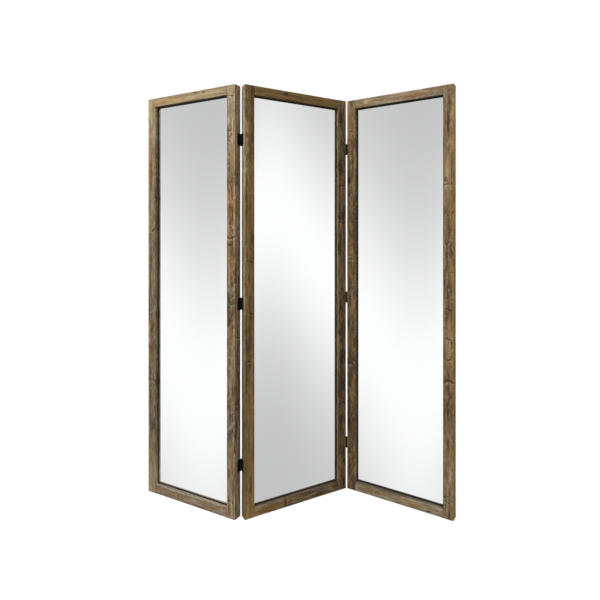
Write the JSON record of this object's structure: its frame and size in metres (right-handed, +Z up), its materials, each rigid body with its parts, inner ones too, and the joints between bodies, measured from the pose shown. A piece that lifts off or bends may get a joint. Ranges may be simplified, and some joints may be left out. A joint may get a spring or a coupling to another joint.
{
  "type": "folding room divider screen",
  "caption": "Free-standing folding screen of tall mirror panels in weathered wood frames, joined by black butt hinges on opposite faces so that it folds as a Z.",
  "frame": {"origin": "on the floor, under the middle of the centre panel's foot", "axes": "+Z up; +Y away from the front, which is the mirrored side; +X to the right as seen from the front"},
  "size_m": [1.3803, 0.296, 1.8288],
  "materials": {
    "left_wood": "weathered matt, greyish tan",
    "centre_wood": "weathered matt, dark brown",
    "right_wood": "weathered matt, mid brown",
    "mirror_glass": "polished",
    "black_edging": "matt",
    "hardboard": "smooth hardboard",
    "dowel_wood": "plain beech",
    "black_steel": "black satin",
    "black_screws": "black satin"
  },
  "bodies": {
    "centre_panel": {"centre_left_stile": "centre_wood", "centre_right_stile": "centre_wood", "centre_top_rail": "centre_wood", "centre_bottom_rail": "centre_wood", "centre_mirror": "mirror_glass", "centre_mirror_edging": "black_edging", "centre_backing_board": "hardboard", "centre_board_screws": "black_screws", "centre_dowels": "dowel_wood", "left_bottom_hinge_centre_leaf": "black_steel", "left_bottom_hinge_centre_screws": "black_screws", "left_middle_hinge_centre_leaf": "black_steel", "left_middle_hinge_centre_screws": "black_screws", "left_top_hinge_centre_leaf": "black_steel", "left_top_hinge_centre_screws": "black_screws", "right_bottom_hinge_centre_leaf": "black_steel", "right_bottom_hinge_centre_screws": "black_screws", "right_middle_hinge_centre_leaf": "black_steel", "right_middle_hinge_centre_screws": "black_screws", "right_top_hinge_centre_leaf": "black_steel", "right_top_hinge_centre_screws": "black_screws"},
    "left_panel": {"left_outer_stile": "left_wood", "left_hinge_stile": "left_wood", "left_top_rail": "left_wood", "left_bottom_rail": "left_wood", "left_mirror": "mirror_glass", "left_mirror_edging": "black_edging", "left_backing_board": "hardboard", "left_board_screws": "black_screws", "left_dowels": "dowel_wood", "left_bottom_hinge_outer_leaf": "black_steel", "left_bottom_hinge_pin": "black_steel", "left_bottom_hinge_outer_screws": "black_screws", "left_middle_hinge_outer_leaf": "black_steel", "left_middle_hinge_pin": "black_steel", "left_middle_hinge_outer_screws": "black_screws", "left_top_hinge_outer_leaf": "black_steel", "left_top_hinge_pin": "black_steel", "left_top_hinge_outer_screws": "black_screws"},
    "right_panel": {"right_hinge_stile": "right_wood", "right_outer_stile": "right_wood", "right_top_rail": "right_wood", "right_bottom_rail": "right_wood", "right_mirror": "mirror_glass", "right_mirror_edging": "black_edging", "right_backing_board": "hardboard", "right_board_screws": "black_screws", "right_dowels": "dowel_wood", "right_bottom_hinge_outer_leaf": "black_steel", "right_bottom_hinge_pin": "black_steel", "right_bottom_hinge_outer_screws": "black_screws", "right_middle_hinge_outer_leaf": "black_steel", "right_middle_hinge_pin": "black_steel", "right_middle_hinge_outer_screws": "black_screws", "right_top_hinge_outer_leaf": "black_steel", "right_top_hinge_pin": "black_steel", "right_top_hinge_outer_screws": "black_screws"}
  },
  "joints": [
    {"name": "left_fold", "type": "hinge", "parent": "centre_panel", "child": "left_panel", "pos_m": [-0.22984, -0.11154, 0.9144], "axis": [0, 0, -1], "range_deg": [-58, 122]},
    {"name": "right_fold", "type": "hinge", "parent": "centre_panel", "child": "right_panel", "pos_m": [0.22984, 0.11154, 0.9144], "axis": [0, 0, -1], "range_deg": [-62, 118]}
  ]
}
